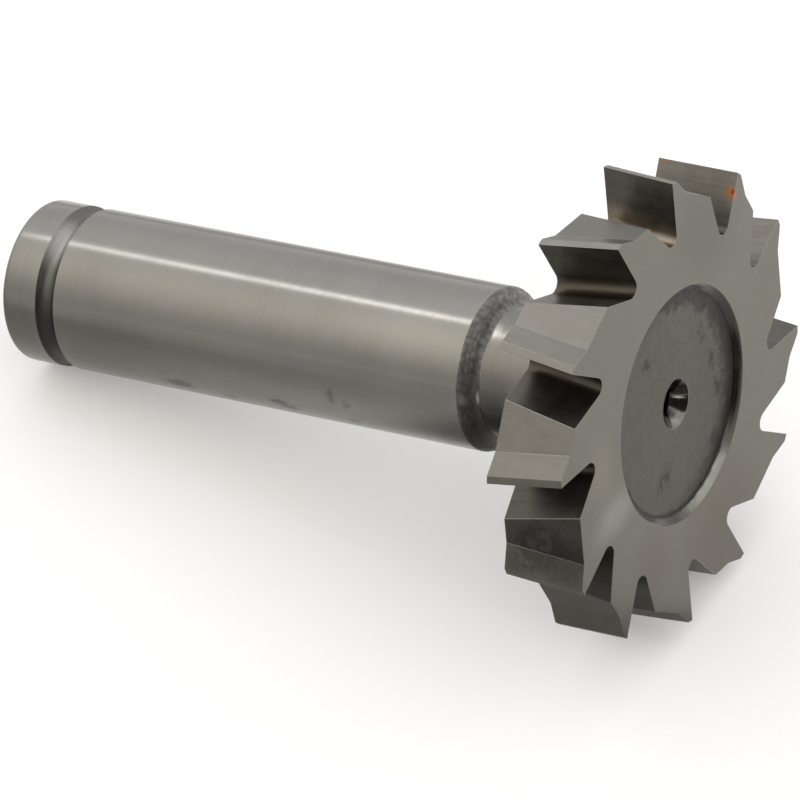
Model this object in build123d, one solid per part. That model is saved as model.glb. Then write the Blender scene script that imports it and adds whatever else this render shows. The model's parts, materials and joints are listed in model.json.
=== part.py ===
"""Woodruff keyseat cutter with staggered teeth, in one piece with its plain round shank.

The cutter is drawn upright on its own axis, with the cutting face at the top, on z = 0, and the
shank below it. It is then laid down as it comes to rest on a bench, on two neighbouring teeth and
the rim of the shank. Lengths are in millimetres and angles in degrees.
"""
import os
from math import acos, asin, atan2, cos, degrees, hypot, radians, sin, tan

from build123d import *

# Overall sizes
overall_length = 57.15
shank_diameter = 12.7
head_diameter = 35.7
head_width = 6.35

# Teeth, which lean one way and the other in turn
tooth_count = 12
tooth_lean = 7.5
rake_angle = 5.0
land_width = 0.6
land_relief = 6.0
back_slope = 43.0
back_slope_width = 1.42
heel_slope = 25.5
gullet_depth = 4.85
gullet_angle = 43.5
gullet_radius = 0.75

# Shallow turned recess in the cutting face, and the centre holes at both ends
recess_diameter = 18.4
recess_depth = 0.58
recess_wall_slope = 45.0
recess_corner = 0.15
centre_pilot_diameter = 2.38
centre_pilot_depth = 2.6
centre_cone_angle = 60.0
drill_point_angle = 118.0
face_centre_diameter = 3.8
shank_centre_diameter = 4.8

# Neck, its rounded shoulder, and the far end of the shank
neck_diameter = 10.3
neck_length = 9.6
neck_fillet = 1.2
shoulder_round = 0.65
shoulder_hollow = 0.9
groove_width = 1.6
groove_depth = 0.6
groove_to_end = 4.05
end_round = 0.5

# Spare stock that every tooth cut clears
cut_clearance = 1.0

# Sizes that follow from these
head_radius = head_diameter / 2
shank_radius = shank_diameter / 2
neck_radius = neck_diameter / 2
recess_radius = recess_diameter / 2
tooth_pitch = 360 / tooth_count
lean_shift = tan(radians(tooth_lean)) * head_width / 2


def turned_outline():
    """Half section of the turned blank, as (radius, height), with the head left as a full disc."""
    blank_radius = head_radius + cut_clearance / 2
    shank_top = -head_width - neck_length
    # The shoulder is a convex round that runs into a hollow one, and both turn by the same angle.
    shoulder_turn = degrees(acos(1 - (shank_radius - neck_radius) / (shoulder_round + shoulder_hollow)))
    groove_radius = ((groove_width / 2) ** 2 + groove_depth ** 2) / (2 * groove_depth)
    groove_turn = 2 * degrees(asin(groove_width / 2 / groove_radius))
    groove_low = groove_to_end - groove_width / 2 - overall_length
    groove_high = groove_low + groove_width

    # The recess's wall slopes out to its rim, and a small round joins it to the floor.
    wall_angle = radians(recess_wall_slope)
    wall_height = recess_depth - recess_corner * (1 - sin(wall_angle))
    floor_radius = recess_radius - wall_height * tan(wall_angle) - recess_corner * cos(wall_angle)

    floor = Line((0, -recess_depth), (floor_radius, -recess_depth))
    corner = JernArc(floor @ 1, (1, 0), recess_corner, 90 - recess_wall_slope)
    rim = Line(corner @ 1, (recess_radius, 0))
    face = Polyline((recess_radius, 0), (blank_radius, 0), (blank_radius, -head_width),
                    (neck_radius + neck_fillet, -head_width))
    root = JernArc(face @ 1, (-1, 0), neck_fillet, 90)
    end_round_arc = JernArc((shank_radius - end_round, -overall_length), (1, 0), end_round, 90)
    end_land = Line(end_round_arc @ 1, (shank_radius, groove_low))
    groove = JernArc(end_land @ 1, (-sin(radians(groove_turn / 2)), cos(radians(groove_turn / 2))),
                     groove_radius, -groove_turn)
    shank = Line((shank_radius, groove_high), (shank_radius, shank_top))
    shoulder = JernArc(shank @ 1, (0, 1), shoulder_round, shoulder_turn)
    hollow = JernArc(shoulder @ 1, shoulder % 1, shoulder_hollow, -shoulder_turn)
    neck = Line(hollow @ 1, root @ 1)
    end_face = Line((0, -overall_length), end_round_arc @ 0)
    axis_line = Line((0, -overall_length), (0, -recess_depth))
    return make_face([floor, corner, rim, *face.edges(), root, neck, hollow, shoulder, shank, groove,
                      end_land, end_round_arc, end_face, axis_line])


def turned_blank():
    return revolve(Plane.XZ * turned_outline(), Axis.Z)


def centre_hole(mouth_diameter):
    """Drilled centre: a cone for the work centre above a pilot hole, with its mouth on z = 0."""
    mouth = mouth_diameter / 2
    pilot = centre_pilot_diameter / 2
    cone_depth = (mouth - pilot) / tan(radians(centre_cone_angle / 2))
    point_depth = pilot / tan(radians(drill_point_angle / 2))
    bottom = cone_depth + centre_pilot_depth
    outline = Polyline((0, 0), (mouth, 0), (pilot, -cone_depth), (pilot, -bottom),
                       (0, -bottom - point_depth), close=True)
    return revolve(Plane.XZ * make_face(outline), Axis.Z)


def land_end():
    """Point behind a tooth tip, on (head_radius, 0), where its narrow land meets the steep back slope."""
    return head_radius - land_width * tan(radians(land_relief)), -land_width


def crossing(point, angle, other_point, other_angle):
    """Point where two lines cross, each given by a point on it and its angle from the x axis."""
    ux, uy = cos(radians(angle)), sin(radians(angle))
    vx, vy = cos(radians(other_angle)), sin(radians(other_angle))
    gap_x, gap_y = other_point[0] - point[0], other_point[1] - point[1]
    along = (gap_x * vy - gap_y * vx) / (ux * vy - uy * vx)
    return point[0] + along * ux, point[1] + along * uy


def tooth_gap():
    """Outline of what is cut away round one tooth tip, which lies on the x axis.

    The rake face and the gullet lie ahead of the tip, on the +y side. The land, the steep back
    slope and the heel lie behind it.
    """
    half_angle = gullet_angle / 2
    arc_centre = head_radius - gullet_depth + gullet_radius
    root_x = arc_centre - gullet_radius / sin(radians(half_angle)) * cos(radians(rake_angle + half_angle))
    root = (root_x, (root_x - head_radius) * tan(radians(rake_angle)))
    wall_angle = rake_angle + gullet_angle
    outside = head_radius + 2 * cut_clearance
    wall_end = crossing(root, wall_angle, (outside, 0), 90)

    slope_end = (land_end()[0] - back_slope_width * tan(radians(back_slope)),
                 land_end()[1] - back_slope_width)
    # The gullet behind this tooth has the same wall, one pitch back, and the heel line runs past it.
    root_turn = atan2(root[1], root[0]) - radians(tooth_pitch)
    root_behind = (hypot(*root) * cos(root_turn), hypot(*root) * sin(root_turn))
    heel = crossing(slope_end, 90 - heel_slope, root_behind, wall_angle - tooth_pitch)
    heel_end_y = heel[1] - 2 * lean_shift - cut_clearance
    heel_end = crossing(slope_end, 90 - heel_slope, (0, heel_end_y), 0)

    points = [(head_radius, 0), land_end(), slope_end, heel_end, (outside, heel_end_y), wall_end, root]
    gap = make_face(Polyline(*points, close=True))
    return fillet(gap.vertices().sort_by(Axis.X)[0], gullet_radius)


def tooth_cuts():
    """One straight cut for each tooth, leaning to alternate sides, which leaves the teeth standing."""
    reach = head_width / 2 + cut_clearance
    gap = tooth_gap()
    cuts = []
    for number in range(tooth_count):
        lean = -tooth_lean if number % 2 else tooth_lean
        turn = tooth_pitch * (number + 0.5)
        cut = extrude(gap, amount=reach, both=True)
        cuts.append(Pos(0, 0, -head_width / 2) * Rot(0, 0, turn) * Rot(lean, 0, 0) * cut)
    return cuts


def upright_cutter():
    face_centre = Pos(0, 0, -recess_depth) * centre_hole(face_centre_diameter)
    shank_centre = Pos(0, 0, -overall_length) * Rot(180, 0, 0) * centre_hole(shank_centre_diameter)
    return turned_blank() - tooth_cuts() - face_centre - shank_centre


def resting_turn_and_tilt():
    """Turn about the axis and tilt of the axis, in degrees, with three points of the cutter on the bench.

    They are the back corners of two teeth, where one stands on its tip and the other on the end of
    its land, and the rounded rim of the shank's end.
    """
    back_corner = radians(tooth_pitch / 2) + atan2(lean_shift, head_radius)
    land_radius = hypot(*land_end())
    land_corner = back_corner - atan2(land_width, land_end()[0])
    turn = atan2(land_radius * cos(land_corner) - head_radius * cos(back_corner),
                 land_radius * sin(land_corner) + head_radius * sin(back_corner))
    rise = head_radius * cos(back_corner - turn) - (shank_radius - end_round)
    run = overall_length - end_round - head_width
    return degrees(turn), degrees(atan2(rise, run) - asin(end_round / hypot(rise, run)))


def lying_cutter():
    """Cutter laid with its axis above +X, its lowest points on z = 0 and its box centred there."""
    turn, tilt = resting_turn_and_tilt()
    along = (cos(radians(tilt)), 0, sin(radians(tilt)))
    down = (sin(radians(tilt)), 0, -cos(radians(tilt)))
    laid = Plane(origin=(0, 0, 0), x_dir=down, z_dir=along).location * Rot(0, 0, turn) * upright_cutter()
    box = laid.bounding_box()
    return Pos(-box.center().X, -box.center().Y, -box.min.Z) * laid


os.makedirs("parts", exist_ok=True)
keyseat_cutter = lying_cutter()
keyseat_cutter.label = "keyseat_cutter"
export_step(keyseat_cutter, "parts/keyseat_cutter.step")
print("turn and tilt of the axis", resting_turn_and_tilt())
print("size", keyseat_cutter.bounding_box().size)
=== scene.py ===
import json
from math import acos, asin, atan2, cos, degrees, hypot, pi, radians, sin, tan

import bmesh
import bpy
from mathutils import Matrix, Quaternion, Vector, noise
from mathutils.geometry import intersect_line_line


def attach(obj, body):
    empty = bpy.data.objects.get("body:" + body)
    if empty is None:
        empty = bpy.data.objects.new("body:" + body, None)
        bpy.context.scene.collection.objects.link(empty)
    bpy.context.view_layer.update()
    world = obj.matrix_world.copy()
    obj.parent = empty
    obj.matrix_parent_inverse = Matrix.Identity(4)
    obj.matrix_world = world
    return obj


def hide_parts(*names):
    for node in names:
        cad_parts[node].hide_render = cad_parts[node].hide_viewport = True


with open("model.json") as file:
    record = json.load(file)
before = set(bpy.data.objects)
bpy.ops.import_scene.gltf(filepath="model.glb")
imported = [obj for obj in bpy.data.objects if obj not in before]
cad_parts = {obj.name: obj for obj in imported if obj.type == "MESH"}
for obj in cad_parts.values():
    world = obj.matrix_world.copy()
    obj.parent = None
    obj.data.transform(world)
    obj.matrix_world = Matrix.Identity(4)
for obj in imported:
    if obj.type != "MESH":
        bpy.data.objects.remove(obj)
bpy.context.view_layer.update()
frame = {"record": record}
scene = bpy.context.scene
scene.view_settings.view_transform = "Standard"
print("frame loaded")

# The cutter is drawn in millimetres, upright on its axis with the cutting face at height 0 and
# the shank below. The shank's two mounts say where its axis and its end lie in the frame.
mm = 0.001
mounts = {mount["name"]: mount for mount in frame["record"]["mounts"]}
shankAxis = -Vector(mounts["shank"]["axis"])  # from the shank's end towards the head
shankMiddle = Vector(mounts["shank"]["pos_m"])
shankEnd = Vector(mounts["shank_end"]["pos_m"])
shankRadius = mounts["shank"]["dims"]["r_mm"]

# Turned body: everything that is round about the axis.
turned = {
    "length": 57.15,
    "slices": 288,  # a multiple of the tooth count
    "recessRadius": 9.2,
    "recessDepth": 0.58,
    "recessWallSlope": 45.0,
    "recessCorner": 0.15,
    "faceCentreRadius": 1.9,
    "shankCentreRadius": 2.4,
    "pilotRadius": 1.19,
    "pilotDepth": 2.6,
    "pilotEdge": 0.03,
    "coneHalfAngle": 30.0,
    "drillHalfAngle": 59.0,
    "neckRadius": 5.15,
    "neckLength": 9.6,
    "neckFillet": 1.2,
    "shoulderRound": 0.65,
    "shoulderHollow": 0.9,
    "grindOver": 8.0,  # degrees of the shoulder's round that the shank's grinding reaches
    "grooveWidth": 1.6,
    "grooveDepth": 0.6,
    "grooveToEnd": 4.05,
    "endRound": 0.5,
    "edgeBreak": 0.04,
}

# How many steps each curve of the turned body is divided into, and the shank along its length.
turnedSteps = {
    "recessCorner": 6,
    "fillet": 14,
    "hollow": 16,
    "hollowGround": 2,  # of the hollow's steps, those that the neck's grinding reaches
    "skinRound": 7,
    "groundRound": 4,
    "shank": 12,
    "groove": 18,
    "endRound": 10,
}

# Lumps on the shoulder's rough skin.
skinLumps = {
    "height": 0.014,
    "closeness": 3.2,
    "dimension": 0.6,
    "lacunarity": 2.0,
    "octaves": 3,
}

# Toothed disc: sizes of one tooth and of the gullet ahead of it.
toothed = {
    "count": 12,
    "lean": 7.5,
    "headRadius": 17.85,
    "headWidth": 6.35,
    "rakeAngle": 5.0,
    "landWidth": 0.6,
    "landRelief": 6.0,
    "landDrop": 0.1,  # nothing but a land lies this near the tips' circle
    "backSlope": 43.0,
    "backSlopeWidth": 1.42,
    "heelSlope": 25.5,
    "gulletDepth": 4.85,
    "gulletAngle": 43.5,
    "gulletRadius": 0.75,
    "gulletSteps": 10,
    "hubRadius": 12.6,  # circle just inside the gullets, where the flat faces are divided
    "edgeBreak": 0.035,
    "breakAbove": 15.0,  # degrees from which an edge of the teeth is broken
    "breakSegments": 2,
    "smoothBelow": 50.0,  # degrees up to which two faces shade as one
}

# Finishes in the order of the mesh's materials, which are made below in the same order.
finishOrder = ["shankGround", "grooveTurned", "shoulderScale", "neckGround", "faceGround",
               "toothBackGround", "gulletMilled", "recessWallTurned", "recessTurned", "centreDrilled"]

# Painted light and shade on single teeth: how much paler or darker than the rest they are drawn at
# their backs, in the gullets ahead of them and on their lands.
paintedToothLight = {
    "toothBackGround": {6: 0.85, 7: 1.08, 9: 0.68, 10: 1.12},
    "gulletMilled": {2: 1.1, 3: 1.75, 4: 1.65, 5: 1.25, 6: 1.6, 7: 1.05, 8: 0.85, 9: 0.75, 10: 1.7},
    "land": {6: 1.17, 7: 1.1, 8: 0.83, 9: 1.6, 10: 1.12},
}


def arc(centre, radius, start, end, steps):
    angles = [radians(start + (end - start) * step / steps) for step in range(steps + 1)]
    return [(centre[0] + radius * cos(angle), centre[1] + radius * sin(angle)) for angle in angles]


def centreHole(mouth, level, inward):
    # from the flat round a drilled centre down its cone, its pilot hole and the drill's point
    pilot, edge = turned["pilotRadius"], turned["pilotEdge"]
    broken = turned["edgeBreak"]
    coneSlope = tan(radians(turned["coneHalfAngle"]))
    coneDepth = (mouth - pilot) / coneSlope
    bottom = coneDepth + turned["pilotDepth"]
    point = bottom + pilot / tan(radians(turned["drillHalfAngle"]))
    coneFoot = (pilot + edge, coneDepth - edge / coneSlope)
    section = [(mouth + broken, 0), (mouth, broken), coneFoot, (pilot, coneDepth + edge),
               (pilot, bottom), (0, point)]
    return "centreDrilled", [(radius, level + inward * depth) for radius, depth in section]


def recessProfile():
    # from the hub circle in over the rim, across the recess and down the centre hole
    rim, depth, corner = turned["recessRadius"], turned["recessDepth"], turned["recessCorner"]
    broken = turned["edgeBreak"]
    mouth = turned["faceCentreRadius"]
    slope = radians(turned["recessWallSlope"])
    wallHeight = depth - corner * (1 - sin(slope))
    floorRadius = rim - wallHeight * tan(slope) - corner * cos(slope)
    wallTop = (rim - broken * sin(slope), -broken * cos(slope))
    cornerArc = arc((floorRadius, corner - depth), corner, -turned["recessWallSlope"], -90,
                    turnedSteps["recessCorner"])
    wallFoot = cornerArc[0]
    middle = ((wallTop[0] + wallFoot[0]) / 2, (wallTop[1] + wallFoot[1]) / 2)
    return [("faceGround", [(toothed["hubRadius"], 0), (rim + broken, 0), wallTop]),
            ("recessWallTurned", [wallTop, middle, wallFoot]),
            ("recessTurned", cornerArc + [(mouth + broken, -depth)]),
            centreHole(mouth, -depth, -1)]


def shankProfile():
    # from the hub circle at the back of the head, along the neck and shank and into the end's centre hole
    back = -toothed["headWidth"]
    neck, fillet = turned["neckRadius"], turned["neckFillet"]
    shoulder, hollow = turned["shoulderRound"], turned["shoulderHollow"]
    turn = degrees(acos(1 - (shankRadius - neck) / (shoulder + hollow)))
    top = back - turned["neckLength"]
    over = turned["grindOver"]
    shoulderCentre = (shankRadius - shoulder, top)
    skinRound = arc(shoulderCentre, shoulder, turn, over, turnedSteps["skinRound"])
    groundRound = arc(shoulderCentre, shoulder, over, 0, turnedSteps["groundRound"])
    meet = skinRound[0]
    hollowCentre = (meet[0] + hollow * cos(radians(turn)), meet[1] + hollow * sin(radians(turn)))
    hollowArc = arc(hollowCentre, hollow, 180, 180 + turn, turnedSteps["hollow"])
    filletArc = arc((neck + fillet, back - fillet), fillet, 90, 180, turnedSteps["fillet"])
    ground = turnedSteps["hollowGround"]

    broken = turned["edgeBreak"]
    half, deep = turned["grooveWidth"] / 2, turned["grooveDepth"]
    grooveRadius = (half ** 2 + deep ** 2) / (2 * deep)
    grooveTurn = degrees(asin(half / grooveRadius))
    middle = turned["grooveToEnd"] - turned["length"]
    grooveTop = middle + half + broken
    grooveFoot = (shankRadius, middle - half - broken)
    grooveCentre = (shankRadius + grooveRadius - deep, middle)
    grooveArc = arc(grooveCentre, grooveRadius, 180 - grooveTurn, 180 + grooveTurn, turnedSteps["groove"])
    steps = turnedSteps["shank"]
    along = [(shankRadius, top + (grooveTop - top) * step / steps) for step in range(steps + 1)]

    end, endRound = -turned["length"], turned["endRound"]
    rounded = arc((shankRadius - endRound, end + endRound), endRound, 0, -90, turnedSteps["endRound"])
    mouth = turned["shankCentreRadius"]
    return [("faceGround", [(toothed["hubRadius"], back), (neck + fillet, back)]),
            ("neckGround", filletArc + hollowArc[:ground + 1]),
            ("shoulderScale", hollowArc[ground:] + skinRound[1:]),
            ("shankGround", groundRound + along[1:]),
            ("grooveTurned", [along[-1]] + grooveArc[1:-1] + [grooveFoot]),
            ("shankGround", [grooveFoot] + rounded + [(mouth + broken, end)]),
            centreHole(mouth, end, 1)]


def gapSection():
    # Section of the gap cut at one tooth, whose tip is on the x axis with its gullet ahead, on +y.
    tip = (toothed["headRadius"], 0.0)
    rake, spread = toothed["rakeAngle"], toothed["gulletAngle"]
    small = toothed["gulletRadius"]
    half = radians(spread / 2)
    bisector = radians(rake) + half
    rootX = tip[0] - toothed["gulletDepth"] + small - small / sin(half) * cos(bisector)
    root = (rootX, (rootX - tip[0]) * tan(radians(rake)))
    centre = (root[0] + small / sin(half) * cos(bisector), root[1] + small / sin(half) * sin(bisector))
    land, slope = toothed["landWidth"], toothed["backSlopeWidth"]
    landEnd = (tip[0] - land * tan(radians(toothed["landRelief"])), -land)
    slopeEnd = (landEnd[0] - slope * tan(radians(toothed["backSlope"])), landEnd[1] - slope)
    gullet = arc(centre, small, rake - 90, rake + spread - 270, toothed["gulletSteps"])
    heelAngle = radians(90 - toothed["heelSlope"])
    wallAngle = radians(rake + spread)
    return {
        "back": [slopeEnd, landEnd],
        "front": [tip] + gullet,
        "heel": (slopeEnd, (slopeEnd[0] - cos(heelAngle), slopeEnd[1] - sin(heelAngle))),
        "wall": (gullet[-1], (gullet[-1][0] + cos(wallAngle), gullet[-1][1] + sin(wallAngle))),
    }


def toothLean(number):
    return radians(-toothed["lean"] if number % 2 else toothed["lean"])


def toothTurn(number):
    return 2 * pi * (number + 0.5) / toothed["count"]


def onFace(point, number, height):
    # where a line of the gap's section meets one flat face of the head
    lean, turn = toothLean(number), toothTurn(number)
    fromMiddle = height + toothed["headWidth"] / 2
    x, y = point[0], point[1] / cos(lean) - fromMiddle * tan(lean)
    return Vector((x * cos(turn) - y * sin(turn), x * sin(turn) + y * cos(turn), height))


def headOutline(height):
    # corners round the head at one flat face, with the finish and tooth of the side that follows each
    section = gapSection()
    corners = []
    for number in range(toothed["count"]):
        nextTooth = (number + 1) % toothed["count"]
        wall = [onFace(point, number, height) for point in section["wall"]]
        heel = [onFace(point, nextTooth, height) for point in section["heel"]]
        for point in section["back"]:
            corners.append((onFace(point, number, height), "toothBackGround", number))
        for point in section["front"]:
            corners.append((onFace(point, number, height), "gulletMilled", number))
        corners.append((intersect_line_line(*wall, *heel)[0], "toothBackGround", nextTooth))
    return corners


def buildCutter():
    form = bmesh.new()
    toothLayer = form.faces.layers.int.new("tooth")
    slices = turned["slices"]

    def addRing(radius, height):
        if radius == 0:
            return [form.verts.new((0, 0, height))]
        angles = [2 * pi * step / slices for step in range(slices)]
        return [form.verts.new((radius * cos(angle), radius * sin(angle), height)) for angle in angles]

    def addFace(corners, finish, tooth=-1):
        face = form.faces.new(corners)
        face.material_index = finishOrder.index(finish)
        face.smooth = True
        face[toothLayer] = tooth

    def joinRings(ring, nextRing, finish):
        for step in range(slices):
            after = (step + 1) % slices
            if len(nextRing) == 1:
                addFace([ring[step], ring[after], nextRing[0]], finish)
            else:
                addFace([ring[step], ring[after], nextRing[after], nextRing[step]], finish)

    def roughen(ring):
        # small lumps on the shoulder's rough skin, made in the mesh itself
        for vert in ring:
            lump = noise.fractal(vert.co * skinLumps["closeness"], skinLumps["dimension"],
                                 skinLumps["lacunarity"], skinLumps["octaves"])
            outward = Vector((vert.co.x, vert.co.y, 0)).normalized()
            vert.co += outward * lump * skinLumps["height"]

    def addTurned(profile):
        start = profile[0][1][0]
        firstRing = ring = addRing(*start)
        for finish, points in profile:
            for point in points[1:]:
                nextRing = addRing(*point)
                joinRings(ring, nextRing, finish)
                ring = nextRing
                if finish == "shoulderScale" and point is not points[-1]:
                    roughen(ring)
        return firstRing

    hubRings = [addTurned(recessProfile()), addTurned(shankProfile())]
    print("turned body made")

    heights = (0.0, -toothed["headWidth"])
    outlines = [headOutline(height) for height in heights]
    rims = [[form.verts.new(place) for place, finish, tooth in outline] for outline in outlines]
    total = len(outlines[0])
    for step, (place, finish, tooth) in enumerate(outlines[0]):
        after = (step + 1) % total
        addFace([rims[0][step], rims[0][after], rims[1][after], rims[1][step]], finish, tooth)

    # The flat face between the hub circle and the teeth is divided at the bottom of each gullet.
    perTooth = total // toothed["count"]
    gulletStart = len(gapSection()["back"]) + 1
    bottomStep = gulletStart + toothed["gulletSteps"] // 2
    for rim, hubRing in zip(rims, hubRings):
        for number in range(toothed["count"]):
            start = number * perTooth + bottomStep
            outer = [rim[(start + step) % total] for step in range(perTooth + 1)]
            hubSteps = [round(atan2(vert.co.y, vert.co.x) / (2 * pi) * slices) % slices
                        for vert in (outer[0], outer[-1])]
            count = (hubSteps[1] - hubSteps[0]) % slices
            inner = [hubRing[(hubSteps[0] + step) % slices] for step in range(count + 1)]
            addFace(outer + inner[::-1], "faceGround")

    bmesh.ops.recalc_face_normals(form, faces=form.faces)
    sharp = [edge for edge in form.edges
             if any(face[toothLayer] >= 0 for face in edge.link_faces)
             and edge.calc_face_angle(0) > radians(toothed["breakAbove"])]
    bmesh.ops.bevel(form, geom=sharp, offset=toothed["edgeBreak"], offset_type="OFFSET",
                    segments=toothed["breakSegments"], profile=0.5, affect="EDGES", clamp_overlap=True)
    bmesh.ops.recalc_face_normals(form, faces=form.faces)
    print("toothed disc made", len(form.faces))

    places = [vert.co.copy() for vert in form.verts]
    mesh = bpy.data.meshes.new("keyseatCutter")
    form.to_mesh(mesh)
    form.free()
    addPlaces(mesh, places)
    mesh.transform(placement())
    cutter = bpy.data.objects.new("keyseatCutter", mesh)
    scene.collection.objects.link(cutter)
    mesh.set_sharp_from_angle(angle=radians(toothed["smoothBelow"]))
    flatten = cutter.modifiers.new("flatFaces", "WEIGHTED_NORMAL")
    flatten.keep_sharp = True
    return cutter


def addPlaces(mesh, places):
    # What the finishes read: places in millimetres on the upright cutter and in the section of each
    # tooth, and each tooth's painted light and shade.
    numbers = [number.value for number in mesh.attributes["tooth"].data]
    kinds = [finishOrder[face.material_index] for face in mesh.polygons]
    cutterPlace = mesh.attributes.new("cutterPlace", "FLOAT_VECTOR", "POINT")
    for index, place in enumerate(places):
        cutterPlace.data[index].vector = place
    toothPlace = mesh.attributes.new("toothPlace", "FLOAT_VECTOR", "CORNER")
    for face, number in zip(mesh.polygons, numbers):
        if number < 0:
            continue
        upright = (Matrix.Rotation(-toothLean(number), 4, "X")
                   @ Matrix.Translation((0, 0, toothed["headWidth"] / 2))
                   @ Matrix.Rotation(-toothTurn(number), 4, "Z"))
        lowest = toothed["headRadius"]
        for corner in face.loop_indices:
            place = upright @ places[mesh.loops[corner].vertex_index]
            toothPlace.data[corner].vector = place
            lowest = min(lowest, place.x)
        if lowest > toothed["headRadius"] - toothed["landDrop"]:
            kinds[face.index] = "land"
    # painted light and shade, one factor per face
    tone = mesh.attributes.new("tone", "FLOAT", "FACE")
    for index, (kind, number) in enumerate(zip(kinds, numbers)):
        tone.data[index].value = paintedToothLight.get(kind, {}).get(number, 1.0)


def restingTurn():
    # turn about the axis at which two neighbouring teeth stand on the bench together
    landEnd = gapSection()["back"][1]
    tipRadius = toothed["headRadius"]
    shift = tan(radians(toothed["lean"])) * toothed["headWidth"] / 2
    backCorner = pi / toothed["count"] + atan2(shift, tipRadius)
    landCorner = backCorner - atan2(toothed["landWidth"], landEnd[0])
    landRadius = hypot(*landEnd)
    return atan2(landRadius * cos(landCorner) - tipRadius * cos(backCorner),
                 landRadius * sin(landCorner) + tipRadius * sin(backCorner))


def placement():
    # from the upright cutter in millimetres to the frame in metres
    endRun = (shankMiddle - shankEnd).dot(shankAxis)
    faceCentre = shankMiddle + shankAxis * (turned["length"] * mm - endRun)
    side = Vector((0, 1, 0))
    down = side.cross(shankAxis)
    axes = Matrix((down, side, shankAxis)).transposed().to_4x4()
    turn = Matrix.Rotation(restingTurn(), 4, "Z")
    return Matrix.Translation(faceCentre) @ axes @ turn @ Matrix.Scale(mm, 4)


cutter = buildCutter()
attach(cutter, "root")
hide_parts("keyseat_cutter")
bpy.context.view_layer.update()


def addNode(tree, kind, inputs=None, **settings):
    made = tree.nodes.new("ShaderNode" + kind)
    for name, value in settings.items():
        setattr(made, name, value)
    for name, value in (inputs or {}).items():
        if isinstance(value, bpy.types.NodeSocket):
            tree.links.new(value, made.inputs[name])
        else:
            made.inputs[name].default_value = value
    return made


def reckon(tree, operation, *values):
    return addNode(tree, "Math", dict(enumerate(values)), operation=operation).outputs[0]


def reckonPlace(tree, operation, *values):
    return addNode(tree, "VectorMath", dict(enumerate(values)), operation=operation).outputs[0]


def joined(tree, *values):
    # three numbers as one place or colour
    return addNode(tree, "CombineXYZ", dict(enumerate(values))).outputs[0]


def apart(tree, place):
    # the three numbers of a place
    return addNode(tree, "SeparateXYZ", {0: place}).outputs


def distance(tree, place):
    return addNode(tree, "VectorMath", {0: place}, operation="LENGTH").outputs["Value"]


def axisRadius(tree, place):
    # distance from the cutter's axis, in millimetres
    return distance(tree, reckonPlace(tree, "MULTIPLY", place, (1, 1, 0)))


def rise(tree, value, low, high, bottom=0.0, top=1.0):
    # smooth step from bottom to top while the value goes from low to high
    return addNode(tree, "MapRange", {"Value": value, "From Min": low, "From Max": high,
                                      "To Min": bottom, "To Max": top},
                   interpolation_type="SMOOTHSTEP").outputs[0]


def mingled(tree, first, second, share):
    # two numbers in one, the first with its share and the second with the rest
    return reckon(tree, "MULTIPLY_ADD", first, share, reckon(tree, "MULTIPLY", second, 1 - share))


def centred(tree, value):
    # from a number round one half to a number round zero
    return reckon(tree, "SUBTRACT", value, 0.5)


def blendColour(tree, share, first, second):
    return addNode(tree, "Mix", {0: share, 6: first, 7: second}, data_type="RGBA").outputs[2]


def scaled(tree, colour, share):
    return reckonPlace(tree, "MULTIPLY", colour, joined(tree, share, share, share))


# Patterns are written as how close they lie in each direction, their detail and their roughness.
edgeGrain = ((3.5, 3.5, 3.5), 3.0, 0.6)
veinGrain = ((0.6, 0.6, 0.6), 5.0, 0.62)


def grain(tree, place, pattern):
    closeness, detail, roughness = pattern
    stretched = reckonPlace(tree, "MULTIPLY", place, closeness)
    return addNode(tree, "TexNoise", {"Vector": stretched, "Scale": 1.0, "Detail": detail,
                                      "Roughness": roughness}).outputs[0]


def sweptRings(tree, place, pattern):
    # rings round the axis: the pattern's first closeness is across them, the others are along them
    x, y = apart(tree, place)[:2]
    return grain(tree, joined(tree, axisRadius(tree, place), x, y), pattern)


def veins(tree, place, width):
    # 1 along thin ragged lines and 0 between them
    away = reckon(tree, "ABSOLUTE", centred(tree, grain(tree, place, veinGrain)))
    return rise(tree, away, 0.0, width, 1.0, 0.0)


def spot(tree, place, centre, spread, ragged, core):
    # 1 in the core of a spot on the cutter and 0 beyond its spread, in millimetres along each axis
    away = reckonPlace(tree, "DIVIDE", reckonPlace(tree, "SUBTRACT", place, centre), spread)
    rough = centred(tree, grain(tree, place, edgeGrain))
    size = reckon(tree, "MULTIPLY_ADD", rough, ragged, distance(tree, away))
    return rise(tree, size, core, 1.0, 1.0, 0.0)


def mark(tree, place, colour, marks):
    # lays spots on a colour: each has its centre, its spread, its own colour and how much of it shows
    for centre, spread, paint, share in marks["spots"]:
        shape = spot(tree, place, centre, spread, marks["ragged"], marks["core"])
        colour = blendColour(tree, reckon(tree, "MULTIPLY", shape, share), colour, paint)
    return colour


def meshPlace(tree, name):
    return addNode(tree, "Attribute", attribute_name=name).outputs["Vector"]


def withPaintedToothLight(tree, colour):
    # a tooth's painted light and shade, from the mesh
    return scaled(tree, colour, addNode(tree, "Attribute", attribute_name="tone").outputs["Fac"])


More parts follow.
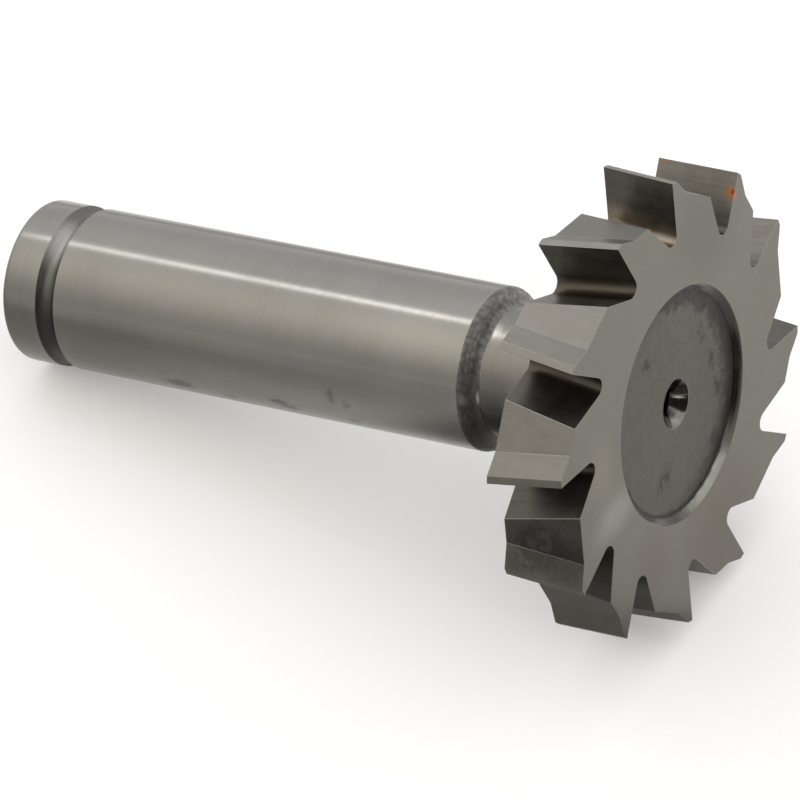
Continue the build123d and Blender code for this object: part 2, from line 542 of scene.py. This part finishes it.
def startFinish(name, look):
    # a metal with its brushing, whose colour, roughness and bumps the finish fills in
    material = bpy.data.materials.new(name)
    material.use_nodes = True
    tree = material.node_tree
    shader = tree.nodes["Principled BSDF"]
    shader.inputs["Metallic"].default_value = look["metallic"]
    shader.inputs["Anisotropic"].default_value = look["brushed"]
    geometry = addNode(tree, "NewGeometry").outputs
    if look["tangent"] == "teeth":
        tangent = reckonPlace(tree, "CROSS_PRODUCT", tuple(shankAxis), geometry["Normal"])
    else:
        fromMiddle = reckonPlace(tree, "SUBTRACT", geometry["Position"], tuple(shankMiddle))
        tangent = reckonPlace(tree, "CROSS_PRODUCT", tuple(shankAxis), fromMiddle)
    if look["tangent"] == "profile":
        tangent = reckonPlace(tree, "CROSS_PRODUCT", tangent, geometry["Normal"])
    tree.links.new(reckonPlace(tree, "NORMALIZE", tangent), shader.inputs["Tangent"])
    return material, tree, meshPlace(tree, "cutterPlace")


wearSpan = (0.3, 0.7)  # of a pattern's values, over which the roughness goes from first to last


def setSurface(tree, look, colour, wear, height):
    shader = tree.nodes["Principled BSDF"]
    tree.links.new(colour, shader.inputs["Base Color"])
    tree.links.new(rise(tree, wear, *wearSpan, *look["roughness"]), shader.inputs["Roughness"])
    bumps = addNode(tree, "Bump", {"Height": height, "Strength": 1.0, "Distance": look["bump"] * mm})
    tree.links.new(bumps.outputs[0], shader.inputs["Normal"])


def shade(tree, look, tone):
    # from the finish's dull colour to its steel one
    return blendColour(tree, rise(tree, tone, *look["contrast"]), look["dull"], look["steel"])


# Ground shank: fine rings left by the grinding wheel, with a painted highlight paler towards the neck,
# and a few scuffs along its underside.
scuffColour = (0.04, 0.037, 0.033, 1)
shankLook = {
    "steel": (0.262, 0.254, 0.236, 1),
    "dull": (0.236, 0.228, 0.212, 1),
    "contrast": (0.36, 0.6),
    "rings": ((0.1, 0.1, 7.0), 7.0, 0.75),
    "broad": ((0.13, 0.13, 0.2), 3.0, 0.6),
    "worn": ((0.9, 0.9, 2.6), 5.0, 0.6),
    "ringShare": 0.45,
    "wornShare": 0.5,
    "metallic": 1.0,
    "roughness": (0.215, 0.255),
    "tangent": "profile",
    "brushed": 0.72,
    "bump": 0.0006,
    # painted highlight: a paler band under the bright line, near the neck
    "paintedHighlight": {"ragged": 0.2, "core": 0.1, "spots": [
        ((-5.2, -3.6, -20.0), (4.0, 4.0, 9.0), (0.31, 0.3, 0.277, 1), 0.75)]},
    "scuffs": {"ragged": 2.6, "core": 0.55, "spots": [
        ((2.8, -5.7, -41.8), (0.65, 0.65, 1.5), scuffColour, 0.7),
        ((3.3, -5.42, -37.5), (0.4, 0.4, 0.7), scuffColour, 0.6),
        ((2.4, -5.88, -32.7), (0.5, 0.5, 0.75), scuffColour, 0.7),
        ((3.0, -5.6, -31.9), (0.55, 0.55, 0.85), scuffColour, 0.7),
        ((0.5, -6.33, -27.3), (1.1, 0.4, 0.3), (0.09, 0.085, 0.077, 1), 0.5),
        ((1.05, -6.26, -26.07), (0.5, 0.4, 0.5), (0.06, 0.056, 0.05, 1), 0.35),
        ((3.15, -5.51, -26.16), (0.5, 0.5, 0.5), scuffColour, 0.45)]},
}


def shankGround():
    look = shankLook
    material, tree, place = startFinish("shankGround", look)
    rings = grain(tree, place, look["rings"])
    broad = grain(tree, place, look["broad"])
    worn = grain(tree, place, look["worn"])
    colour = shade(tree, look, mingled(tree, rings, broad, look["ringShare"]))
    # painted highlight near the neck, then the scuffs
    colour = mark(tree, place, colour, look["paintedHighlight"])
    colour = mark(tree, place, colour, look["scuffs"])
    setSurface(tree, look, colour, mingled(tree, worn, rings, look["wornShare"]), rings)
    return material


# Groove near the shank's end: turned before hardening and matt, with a painted highlight at its top
# and painted shade at its underside.
grooveLook = {
    "steel": (0.175, 0.17, 0.162, 1),
    "dull": (0.14, 0.136, 0.129, 1),
    "contrast": (0.34, 0.62),
    "rings": ((0.12, 0.12, 6.0), 6.0, 0.7),
    "worn": ((0.8, 0.8, 1.5), 4.0, 0.6),
    "ringShare": 0.5,
    "metallic": 1.0,
    "roughness": (0.42, 0.5),
    "tangent": "profile",
    "brushed": 0.3,
    "bump": 0.0008,
    # painted highlight where the light catches the groove's top
    "paintedHighlight": {"ragged": 0.2, "core": 0.1, "spots": [
        ((-5.6, -1.6, -53.1), (3.0, 3.0, 3.0), (0.42, 0.414, 0.4, 1), 0.85)]},
    # painted shade at the groove's underside
    "paintedShade": {"ragged": 0.3, "core": 0.2, "spots": [
        ((0.2, -5.9, -53.1), (4.6, 4.6, 4.6), (0.045, 0.043, 0.039, 1), 0.8)]},
}


# Neck and its round: ground as the shank is, a little coarser, with a painted highlight at one spot beside
# the shoulder and painted shade at its underside.
neckLook = {
    "steel": (0.212, 0.202, 0.187, 1),
    "dull": (0.19, 0.181, 0.167, 1),
    "contrast": (0.3, 0.6),
    "rings": ((0.12, 0.12, 5.0), 6.0, 0.7),
    "worn": ((0.7, 0.7, 1.4), 4.0, 0.6),
    "ringShare": 0.6,
    "metallic": 1.0,
    "roughness": (0.195, 0.21),
    "tangent": "ring",
    "brushed": 0.85,
    "bump": 0.0002,
    # painted highlight beside the shoulder
    "paintedHighlight": {"ragged": 0.2, "core": 0.1, "spots": [
        ((-4.98, -1.35, -14.45), (1.1, 0.95, 0.75), (0.36, 0.35, 0.33, 1), 0.85)]},
    # painted shade at the neck's underside
    "paintedShade": {"ragged": 0.3, "core": 0.2, "spots": [
        ((0.9, -5.1, -13.4), (4.8, 4.8, 4.8), (0.05, 0.047, 0.043, 1), 0.85)]},
}


def ringedFinish(name, look):
    # groove and neck: rings, wear, a painted highlight spot and painted shade at the underside
    material, tree, place = startFinish(name, look)
    rings = grain(tree, place, look["rings"])
    worn = grain(tree, place, look["worn"])
    colour = shade(tree, look, mingled(tree, rings, worn, look["ringShare"]))
    # painted highlight, then painted shade at the underside
    colour = mark(tree, place, colour, look["paintedHighlight"])
    colour = mark(tree, place, colour, look["paintedShade"])
    setSurface(tree, look, colour, worn, rings)
    return material


def grooveTurned():
    return ringedFinish("grooveTurned", grooveLook)


def neckGround():
    return ringedFinish("neckGround", neckLook)


# Shoulder that the grinding didn't reach: a dark rough skin with paler scales, painted paler where it is
# steepest against its own shade, with painted shade at its underside and painted glints.
scaleLook = {
    "dark": (0.088, 0.085, 0.08, 1),
    "light": (0.215, 0.21, 0.2, 1),
    "lumps": ((3.0, 3.0, 3.0), 4.0, 0.55),
    "broad": ((0.9, 0.9, 0.9), 3.0, 0.6),
    "cells": 1.9,  # scales of the skin in a millimetre
    "warp": 0.35,  # millimetres that the lumps push the scales' edges about
    "cellSpan": (0.2, 0.75),  # distance from a scale's middle over which it darkens
    "lumpSpan": (0.35, 0.65),
    "cellShare": 0.6,
    "steepRadius": 5.85,  # where the shoulder is steepest
    "steepSpan": (0.4, 0.08),  # distance from there over which the painted light makes the skin paler
    # how much paler the painted light makes the skin where it is steepest, against the hollow's shade
    "paintedLightTone": 2.1,
    "metallic": 0.2,
    "roughness": (0.46, 0.36),
    "tangent": "profile",
    "brushed": 0.0,
    "bump": 0.008,
    # painted shade, darker towards the underside
    "paintedShade": {"ragged": 0.5, "core": 0.35, "spots": [
        ((-1.9, -5.3, -15.2), (3.0, 3.0, 3.0), (0.04, 0.038, 0.036, 1), 0.62),
        ((3.0, -5.2, -15.2), (5.2, 5.2, 5.2), (0.022, 0.022, 0.023, 1), 0.93)]},
    # painted glints: reflections of a small light on the skin
    "paintedGlints": {"ragged": 0.5, "core": 0.2, "spots": [
        ((-1.2, -5.04, -14.67), (0.8, 0.35, 0.22), (0.38, 0.38, 0.41, 1), 0.7),
        ((-1.45, -5.9, -15.45), (0.6, 0.5, 0.5), (0.22, 0.228, 0.26, 1), 0.6)]},
}


def shoulderScale():
    look = scaleLook
    material, tree, place = startFinish("shoulderScale", look)
    lumps = grain(tree, place, look["lumps"])
    broad = grain(tree, place, look["broad"])
    push = reckonPlace(tree, "MULTIPLY", joined(tree, lumps, broad, lumps), (look["warp"],) * 3)
    warped = reckonPlace(tree, "ADD", place, push)
    cells = addNode(tree, "TexVoronoi", {"Vector": warped, "Scale": look["cells"]}).outputs["Distance"]
    scales = rise(tree, cells, *look["cellSpan"], 1.0, 0.0)
    tone = mingled(tree, scales, rise(tree, lumps, *look["lumpSpan"]), look["cellShare"])
    fromSteepest = reckon(tree, "ABSOLUTE",
                          reckon(tree, "SUBTRACT", axisRadius(tree, place), look["steepRadius"]))
    # painted light, paler where the shoulder is steepest, against the shade of its hollow
    paler = rise(tree, fromSteepest, *look["steepSpan"], 1.0, look["paintedLightTone"])
    colour = scaled(tree, blendColour(tree, tone, look["dark"], look["light"]), paler)
    # painted shade at the underside, then painted glints
    colour = mark(tree, place, colour, look["paintedShade"])
    colour = mark(tree, place, colour, look["paintedGlints"])
    setSurface(tree, look, colour, lumps, lumps)
    return material


# Orange residue on one tooth, with a dark red middle, and a faint tint of it further along that tooth.
residueMarks = {"ragged": 0.7, "core": 0.2, "spots": [
    ((-11.12, 11.86, -0.1), (0.72, 0.72, 0.8), (0.42, 0.14, 0.055, 1), 1.0),
    ((-11.22, 11.94, -0.06), (0.28, 0.28, 0.3), (0.16, 0.03, 0.015, 1), 0.9),
    ((-12.82, 12.34, -5.75), (0.5, 0.5, 0.6), (0.34, 0.12, 0.06, 1), 0.35)]}


# Flat faces of the head: ground with fine arcs, faintly mottled warm and cool, with a painted highlight
# streaking out from the hub.
faceLook = {
    "steel": (0.186, 0.177, 0.152, 1),  # warm
    "dull": (0.178, 0.172, 0.152, 1),  # cool
    "worn": (0.156, 0.148, 0.13, 1),
    "contrast": (0.36, 0.62),
    "arcs": ((6.0, 0.3, 0.3), 6.0, 0.7),
    "broad": ((0.16, 0.16, 0.16), 3.0, 0.6),
    "mottle": ((0.8, 0.8, 0.8), 5.0, 0.65),
    "arcShare": 0.4,
    "wornSpan": (0.36, 0.6),
    "wornShare": 0.5,
    "metallic": 1.0,
    "roughness": (0.32, 0.38),
    "tangent": "profile",
    "brushed": 0.5,
    "bump": 0.0008,
    # the first and last spots are a painted highlight streaking from the hub towards one gullet; the others
    # are tone
    "patches": {"ragged": 0.6, "core": 0.1, "spots": [
        ((1.9, -11.2, 0.0), (2.3, 4.6, 1.0), (0.27, 0.26, 0.235, 1), 0.9),
        ((-11.0, 7.0, 0.0), (7.0, 7.0, 1.0), (0.13, 0.125, 0.11, 1), 0.6),
        ((12.0, 1.5, 0.0), (7.0, 8.5, 1.0), (0.145, 0.122, 0.1, 1), 0.6),
        ((9.1, -7.6, 0.0), (4.5, 4.0, 1.0), (0.14, 0.118, 0.096, 1), 0.5),
        ((-2.5, -11.9, 0.0), (4.5, 3.0, 1.0), (0.25, 0.228, 0.195, 1), 0.5)]},
}


def faceGround():
    look = faceLook
    material, tree, place = startFinish("faceGround", look)
    arcs = sweptRings(tree, place, look["arcs"])
    mottle = grain(tree, place, look["mottle"])
    colour = shade(tree, look, grain(tree, place, look["broad"]))
    tone = mingled(tree, arcs, mottle, look["arcShare"])
    worn = rise(tree, tone, *look["wornSpan"], look["wornShare"], 0.0)
    colour = blendColour(tree, worn, colour, look["worn"])
    # tone patches and the painted highlight streak
    colour = mark(tree, place, colour, look["patches"])
    colour = mark(tree, place, colour, residueMarks)
    setSurface(tree, look, colour, mottle, arcs)
    return material


# Lands, back slopes and heels of the teeth: ground along the tooth, with smudges on one of them.
backLook = {
    "steel": (0.222, 0.212, 0.192, 1),
    "dull": (0.188, 0.179, 0.161, 1),
    "contrast": (0.34, 0.62),
    "lines": ((7.0, 7.0, 0.2), 6.0, 0.7),
    "mottle": ((0.6, 0.6, 0.6), 5.0, 0.6),
    "lineShare": 0.5,
    "metallic": 1.0,
    "roughness": (0.33, 0.38),
    "tangent": "teeth",
    "brushed": 0.4,
    "bump": 0.0015,
    "stain": {"centre": (1.9, -16.0, -3.6), "spread": (2.6, 2.6, 2.8), "ragged": 0.8, "core": 0.55,
              "width": 0.16, "colour": (0.05, 0.046, 0.04, 1), "share": 0.5},
    "smudges": {"ragged": 0.9, "core": 0.2, "spots": [
        ((2.8, -16.7, -1.1), (2.4, 2.4, 2.2), (0.1, 0.094, 0.085, 1), 0.5),
        ((3.3, -16.7, -5.8), (1.5, 1.5, 2.2), (0.11, 0.104, 0.094, 1), 0.4)]},
}


def toothBackGround():
    look = backLook
    material, tree, place = startFinish("toothBackGround", look)
    lines = grain(tree, meshPlace(tree, "toothPlace"), look["lines"])
    mottle = grain(tree, place, look["mottle"])
    colour = shade(tree, look, mingled(tree, lines, mottle, look["lineShare"]))
    stain = look["stain"]
    shape = spot(tree, place, stain["centre"], stain["spread"], stain["ragged"], stain["core"])
    covered = reckon(tree, "MULTIPLY", shape, veins(tree, place, stain["width"]))
    colour = blendColour(tree, reckon(tree, "MULTIPLY", covered, stain["share"]), colour, stain["colour"])
    colour = mark(tree, place, colour, look["smudges"])
    setSurface(tree, look, withPaintedToothLight(tree, colour), mottle, lines)
    return material


# Rake faces and gullets: milled and left darker, tan where the gullet's bottom curves, with one stained
# pale there, the pale stain partly a painted highlight.
gulletLook = {
    "steel": (0.12, 0.114, 0.103, 1),
    "dull": (0.09, 0.084, 0.075, 1),
    "tan": (0.085, 0.075, 0.06, 1),
    "contrast": (0.36, 0.64),
    "lines": ((4.0, 4.0, 0.15), 5.0, 0.65),
    "mottle": ((0.5, 0.5, 0.5), 4.0, 0.6),
    "lineShare": 0.4,
    "curve": (0.05, 0.95),  # heights above the gullet's bottom between which the tan ends
    "metallic": 1.0,
    "roughness": (0.34, 0.42),
    "tangent": "teeth",
    "brushed": 0.35,
    "bump": 0.002,
    # pale tan stains, partly a painted highlight where the gullet's bottom curves
    "stainsAndSheen": {"ragged": 0.5, "core": 0.2, "spots": [
        ((-13.3, 4.0, -4.0), (1.5, 1.5, 5.0), (0.33, 0.275, 0.21, 1), 0.88),
        ((-13.0, 3.2, -1.2), (1.2, 1.2, 2.6), (0.34, 0.29, 0.23, 1), 0.85)]},
}


def gulletMilled():
    look = gulletLook
    material, tree, place = startFinish("gulletMilled", look)
    toothPlace = meshPlace(tree, "toothPlace")
    lines = grain(tree, toothPlace, look["lines"])
    mottle = grain(tree, place, look["mottle"])
    colour = withPaintedToothLight(tree, shade(tree, look, mingled(tree, lines, mottle, look["lineShare"])))
    bottom = toothed["headRadius"] - toothed["gulletDepth"]
    start, end = look["curve"]
    curved = rise(tree, apart(tree, toothPlace)[0], bottom + start, bottom + end, 1.0, 0.0)
    colour = blendColour(tree, curved, colour, look["tan"])
    colour = mark(tree, place, colour, look["stainsAndSheen"])
    colour = mark(tree, place, colour, residueMarks)
    setSurface(tree, look, colour, mottle, lines)
    return material


# Sloping wall of the recess: turned bright, darker at its foot, and with painted shade on parts of it.
wallLook = {
    "steel": (0.28, 0.27, 0.246, 1),
    "dull": (0.24, 0.23, 0.209, 1),
    "darkening": (0.035, 0.034, 0.031, 1),
    "contrast": (0.35, 0.65),
    "mottle": ((0.9, 0.9, 0.9), 4.0, 0.6),
    "darkeningFoot": (8.66, 8.78),  # radius up to which the corner's darkening climbs the wall
    "darkeningRagged": 0.3,
    "darkeningShare": 0.9,
    "metallic": 1.0,
    "roughness": (0.2, 0.25),
    "tangent": "profile",
    "brushed": 0.4,
    "bump": 0.0004,
    # painted shade on parts of the wall
    "paintedShade": {"ragged": 0.25, "core": 0.5, "spots": [
        ((-2.0, 8.7, -0.3), (12.4, 12.4, 12.4), (0.065, 0.062, 0.056, 1), 0.75),
        ((-2.15, 8.63, -0.3), (4.6, 4.6, 4.6), (0.03, 0.028, 0.026, 1), 0.65),
        ((6.3, 6.3, -0.3), (3.0, 3.0, 3.0), (0.075, 0.07, 0.062, 1), 0.8),
        ((-3.7, 8.4, -0.3), (4.2, 4.2, 4.2), (0.045, 0.042, 0.037, 1), 0.5),
        ((-6.9, 5.9, -0.3), (4.0, 4.0, 4.0), (0.05, 0.047, 0.042, 1), 0.45),
        ((5.7, -6.8, -0.3), (8.0, 8.0, 8.0), (0.08, 0.075, 0.067, 1), 0.95)]},
}


def recessWallTurned():
    look = wallLook
    material, tree, place = startFinish("recessWallTurned", look)
    mottle = grain(tree, place, look["mottle"])
    # painted shade on parts of the wall, then darker towards its foot
    colour = mark(tree, place, shade(tree, look, mottle), look["paintedShade"])
    climb = reckon(tree, "MULTIPLY_ADD", centred(tree, mottle), look["darkeningRagged"], axisRadius(tree, place))
    darkening = rise(tree, climb, *look["darkeningFoot"], look["darkeningShare"], 0.0)
    colour = blendColour(tree, darkening, colour, look["darkening"])
    setSurface(tree, look, colour, mottle, mottle)
    return material


# Floor of the recess: brown-grey with fine rings, darker in its corner, in two crescents of painted shade
# beside the wall, and in patches.
recessLook = {
    "steel": (0.122, 0.113, 0.1, 1),
    "dull": (0.1, 0.093, 0.081, 1),
    "dark": (0.032, 0.031, 0.027, 1),
    "contrast": (0.35, 0.65),
    "rings": ((4.0, 0.18, 0.18), 5.0, 0.65),
    "mottle": ((1.1, 1.1, 1.1), 5.0, 0.65),
    "raggedEdge": ((1.3, 1.3, 1.3), 4.0, 0.65),
    "metallic": 1.0,
    "roughness": (0.38, 0.48),
    "tangent": "profile",
    "brushed": 0.25,
    "bump": 0.003,
    # Darker beyond a circle: the two off-centre ones leave crescents of painted shade beside the wall, and
    # the last one darkens the corner.
    "beyond": [{"shift": (-0.6, 1.5, 0.0), "ragged": 3.4, "reach": (8.1, 9.5), "share": 0.85},
               {"shift": (0.93, 2.0, 0.0), "ragged": 2.6, "reach": (8.0, 10.4), "share": 0.78},
               {"shift": (0.0, 0.0, 0.0), "ragged": 0.5, "reach": (8.3, 8.56), "share": 0.85}],
    "veinWidth": 0.06,
    "veinShare": 0.16,
    "patchShares": (0.6, 0.25),  # how much of a patch shows along the veins, and all over
    "patchRagged": 1.6,
    "patchCore": 0.3,
    "patches": [((-2.7, 5.0, -0.6), (1.3, 0.8, 1.0)), ((0.0, 5.6, -0.6), (1.2, 0.7, 1.0)),
                ((2.4, 5.6, -0.6), (1.2, 0.8, 1.0)), ((6.1, 3.8, -0.6), (0.8, 1.2, 1.0)),
                ((4.6, -3.4, -0.6), (1.4, 1.5, 1.0)), ((-5.6, -2.7, -0.6), (0.7, 0.9, 1.0))],
}


def recessTurned():
    look = recessLook
    material, tree, place = startFinish("recessTurned", look)
    rings = sweptRings(tree, place, look["rings"])
    mottle = grain(tree, place, look["mottle"])
    ragged = centred(tree, grain(tree, place, look["raggedEdge"]))
    colour = shade(tree, look, mottle)
    # painted shade in two crescents beside the wall, and darker in the corner
    for darkening in look["beyond"]:
        radius = axisRadius(tree, reckonPlace(tree, "ADD", place, darkening["shift"]))
        reach = reckon(tree, "MULTIPLY_ADD", ragged, darkening["ragged"], radius)
        covered = rise(tree, reach, *darkening["reach"], 0.0, darkening["share"])
        colour = blendColour(tree, covered, colour, look["dark"])
    streaks = veins(tree, place, look["veinWidth"])
    for centre, spread in look["patches"]:
        shape = spot(tree, place, centre, spread, look["patchRagged"], look["patchCore"])
        covered = reckon(tree, "MULTIPLY", shape,
                         reckon(tree, "MULTIPLY_ADD", streaks, *look["patchShares"]))
        colour = blendColour(tree, covered, colour, look["dark"])
    colour = blendColour(tree, reckon(tree, "MULTIPLY", streaks, look["veinShare"]), colour, look["dark"])
    setSurface(tree, look, colour, mottle, rings)
    return material


# Drilled centre holes: a bright cone with spots of painted shade in the one that shows, and the pilot hole
# painted dark as shade.
holeLook = {
    "steel": (0.24, 0.227, 0.205, 1),
    "dull": (0.18, 0.168, 0.15, 1),
    # painted shade deep in the pilot hole
    "pilot": (0.04, 0.036, 0.03, 1),
    "contrast": (0.35, 0.65),
    "rings": ((0.3, 0.3, 5.0), 5.0, 0.65),
    "pilotEdge": (0.005, 0.03),  # beyond the pilot's radius, where the dark ends
    "metallic": 1.0,
    "roughness": (0.13, 0.18),
    "tangent": "profile",
    "brushed": 0.4,
    "bump": 0.001,
    # painted shade in the cone of the hole that shows
    "darkening": {"ragged": 0.3, "core": 0.3, "spots": [
        ((-0.62, 1.52, -0.95), (0.75, 0.6, 0.7), (0.035, 0.032, 0.028, 1), 0.85),
        ((1.25, 0.25, -1.6), (0.7, 0.7, 0.8), (0.05, 0.043, 0.035, 1), 0.8)]},
}


def centreDrilled():
    look = holeLook
    material, tree, place = startFinish("centreDrilled", look)
    rings = grain(tree, place, look["rings"])
    start, end = look["pilotEdge"]
    pilot = turned["pilotRadius"]
    cone = rise(tree, axisRadius(tree, place), pilot + start, pilot + end)
    # painted shade in the pilot hole, then spots of painted shade in the cone
    colour = blendColour(tree, cone, look["pilot"], shade(tree, look, rings))
    colour = mark(tree, place, colour, look["darkening"])
    setSurface(tree, look, colour, rings, rings)
    return material


for makeFinish in (shankGround, grooveTurned, shoulderScale, neckGround, faceGround, toothBackGround,
                   gulletMilled, recessWallTurned, recessTurned, centreDrilled):
    cutter.data.materials.append(makeFinish())
print("finishes made", [material.name for material in cutter.data.materials])


# The camera stands where the photograph's stood.
cameraView = {
    "target": (8.295, -10.109, 18.164),  # millimetres in the frame
    "distance": 531.0,
    "azimuth": 29.166,
    "elevation": 41.874,
    "roll": 0.724,
    "lens": 321.42,
    "sensor": 36.0,
    "clipStart": 0.01,
}


def placeCamera():
    azimuth, elevation = radians(cameraView["azimuth"]), radians(cameraView["elevation"])
    back = Vector((sin(azimuth) * cos(elevation), -cos(azimuth) * cos(elevation), sin(elevation)))
    data = bpy.data.cameras.new("camera")
    data.lens = cameraView["lens"]
    data.sensor_width = cameraView["sensor"]
    data.clip_start = cameraView["clipStart"]
    camera = bpy.data.objects.new("camera", data)
    camera.location = (Vector(cameraView["target"]) + back * cameraView["distance"]) * mm
    roll = Quaternion((0, 0, 1), radians(cameraView["roll"]))
    camera.rotation_mode = "QUATERNION"
    camera.rotation_quaternion = (-back).to_track_quat("-Z", "Y") @ roll
    scene.collection.objects.link(camera)
    scene.camera = camera


placeCamera()
bpy.context.view_layer.update()  # brings the new camera's place up to date
print("camera placed")


# Pale floor, soft sky, and one lamp for the bright line along the shank.
studio = {
    "floorReach": 3.0,  # metres
    "floorColour": (0.84, 0.84, 0.84, 1),
    "floorLift": 0.18,
    "horizonBack": (0.9, 0.9, 0.9, 1),
    "horizonFront": (0.68, 0.665, 0.63, 1),
    "skyBack": (1.35, 1.35, 1.35, 1),
    "skyFront": (1.63, 1.57, 1.42, 1),
    "zenith": (0.85, 0.85, 0.85, 1),
    "frontSpan": (0.35, -0.45),  # of a direction's y, from the back of the sky to its front
    "skySpan": (0.1, 0.9),  # of a direction's height, from the horizon to the sky
    "zenithSpan": (0.72, 0.98),
    "lampDirection": (-0.653, 0.122, 0.747),
    "lampDistance": 600.0,  # millimetres, as its size
    "lampSize": (58.0, 80.0),
    "lampRadiance": 6.2,
    "cardTint": (1.0, 0.98, 0.94),
}

# Cards that only the metal mirrors: dark sheets of painted shade, and holeLine, a bright sheet for a
# painted reflection line in the centre hole. Each is a corner and two edges in millimetres, its brightness,
# and how much of it fades at its sides.
cards = {
    "shadeAhead": {"corner": (-400, -420, 0.3), "edges": ((408, 0, 0), (0, 412, 0)),
                   "level": 0.66, "fade": 0.03},
    "shankDark": {"corner": (-160, -46, 0.6), "edges": ((172, 0, 0), (0, 50, 0)),
                  "level": 0.42, "fade": 0.3},
    "headDark": {"corner": (-2, -120, 0.9), "edges": ((230, 0, 0), (0, 119, 0)),
                 "level": 0.1, "fade": 0.06},
    "headNear": {"corner": (6, -32, 1.2), "edges": ((34, 0, 0), (0, 31, 0)),
                 "level": 0.27, "fade": 0.22},
    "shadeBehind": {"corner": (-110, 28, 0.3), "edges": ((110, 0, 0), (0, 110, 0)),
                    "level": 0.5, "fade": 0.2},
    "roomDark": {"corner": (70, -270, -60), "edges": ((190, 220, 0), (0, 0, 560)),
                 "level": 0.03, "fade": 0.15},
    "frontDark": {"corner": (-44, -157, -60), "edges": ((114, 0, 0), (0, 0, 128)),
                  "level": 0.3, "fade": 0.09},
    # painted reflection: a bright line that the centre hole mirrors
    "holeLine": {"corner": (101, -177.3, 14), "edges": ((44, 27.4, 0), (0, 0, 42)),
                 "level": 1.9, "fade": 0.2},
}


def makeSheet(name, corners, materialName):
    # four-cornered piece of the stage, with a material that is still empty
    mesh = bpy.data.meshes.new(name)
    mesh.from_pydata(corners, [], [(0, 1, 2, 3)])
    sheet = bpy.data.objects.new(name, mesh)
    scene.collection.objects.link(sheet)
    material = bpy.data.materials.new(materialName)
    material.use_nodes = True
    material.node_tree.nodes.clear()
    mesh.materials.append(material)
    return sheet, material.node_tree


def makeFloor():
    reach = studio["floorReach"]
    corners = [(-reach, -reach, 0), (reach, -reach, 0), (reach, reach, 0), (-reach, reach, 0)]
    floor, tree = makeSheet("floor", corners, "paleFloor")
    matt = addNode(tree, "BsdfDiffuse", {"Color": studio["floorColour"]})
    light = addNode(tree, "LightPath").outputs
    seen = reckon(tree, "ADD", light["Is Camera Ray"], light["Is Glossy Ray"])
    seen = reckon(tree, "ADD", seen, light["Is Transmission Ray"])
    lift = reckon(tree, "MULTIPLY", reckon(tree, "MINIMUM", seen, 1.0), studio["floorLift"])
    glow = addNode(tree, "Emission", {"Color": (1, 1, 1, 1), "Strength": lift})
    both = addNode(tree, "AddShader", {0: matt.outputs[0], 1: glow.outputs[0]})
    tree.links.new(both.outputs[0], addNode(tree, "OutputMaterial").inputs["Surface"])


def makeSky():
    world = bpy.data.worlds.new("studioSky")
    scene.world = world
    world.use_nodes = True
    tree = world.node_tree
    direction = apart(tree, addNode(tree, "TexCoord").outputs["Generated"])
    front = rise(tree, direction[1], *studio["frontSpan"])
    up = rise(tree, direction[2], *studio["skySpan"])
    top = rise(tree, direction[2], *studio["zenithSpan"])
    horizon = blendColour(tree, front, studio["horizonBack"], studio["horizonFront"])
    sky = blendColour(tree, front, studio["skyBack"], studio["skyFront"])
    colour = blendColour(tree, top, blendColour(tree, up, horizon, sky), studio["zenith"])
    tree.links.new(colour, tree.nodes["Background"].inputs["Color"])


def makeLineLamp():
    width, length = (size * mm for size in studio["lampSize"])
    data = bpy.data.lights.new("lineLamp", "AREA")
    data.shape = "RECTANGLE"
    data.size = width
    data.size_y = length
    data.energy = studio["lampRadiance"] * pi * width * length
    lamp = bpy.data.objects.new("lineLamp", data)
    away = Vector(studio["lampDirection"]).normalized()
    lengthwise = (shankAxis - away * shankAxis.dot(away)).normalized()
    across = lengthwise.cross(away)
    lamp.matrix_world = (Matrix.Translation(shankMiddle + away * studio["lampDistance"] * mm)
                         @ Matrix((across, lengthwise, away)).transposed().to_4x4())
    scene.collection.objects.link(lamp)


def makeCard(name, card):
    piece, tree = makeSheet(name, [(0, 0, 0), (1, 0, 0), (1, 1, 0), (0, 1, 0)], name)
    corner, first, second = (Vector(edge) * mm for edge in (card["corner"], *card["edges"]))
    facing = first.cross(second).normalized()
    piece.matrix_world = (Matrix.Translation(corner)
                          @ Matrix((first, second, facing)).transposed().to_4x4())
    for ray in ("camera", "diffuse", "shadow", "transmission", "volume_scatter"):
        setattr(piece, "visible_" + ray, False)
    sides = apart(tree, addNode(tree, "TexCoord").outputs["Generated"])[:2]
    shares = [rise(tree, reckon(tree, "ABSOLUTE", centred(tree, side)), 0.5, 0.5 - card["fade"])
              for side in sides]
    colour = tuple(card["level"] * tint for tint in studio["cardTint"]) + (1,)
    glow = addNode(tree, "Emission", {"Color": colour, "Strength": 1.0})
    clear = addNode(tree, "BsdfTransparent")
    mixed = addNode(tree, "MixShader", {0: reckon(tree, "MULTIPLY", *shares),
                                        1: clear.outputs[0], 2: glow.outputs[0]})
    tree.links.new(mixed.outputs[0], addNode(tree, "OutputMaterial").inputs["Surface"])


makeFloor()
makeSky()
makeLineLamp()
for cardName, card in cards.items():
    makeCard(cardName, card)
print("floor, sky, lamp and cards made")
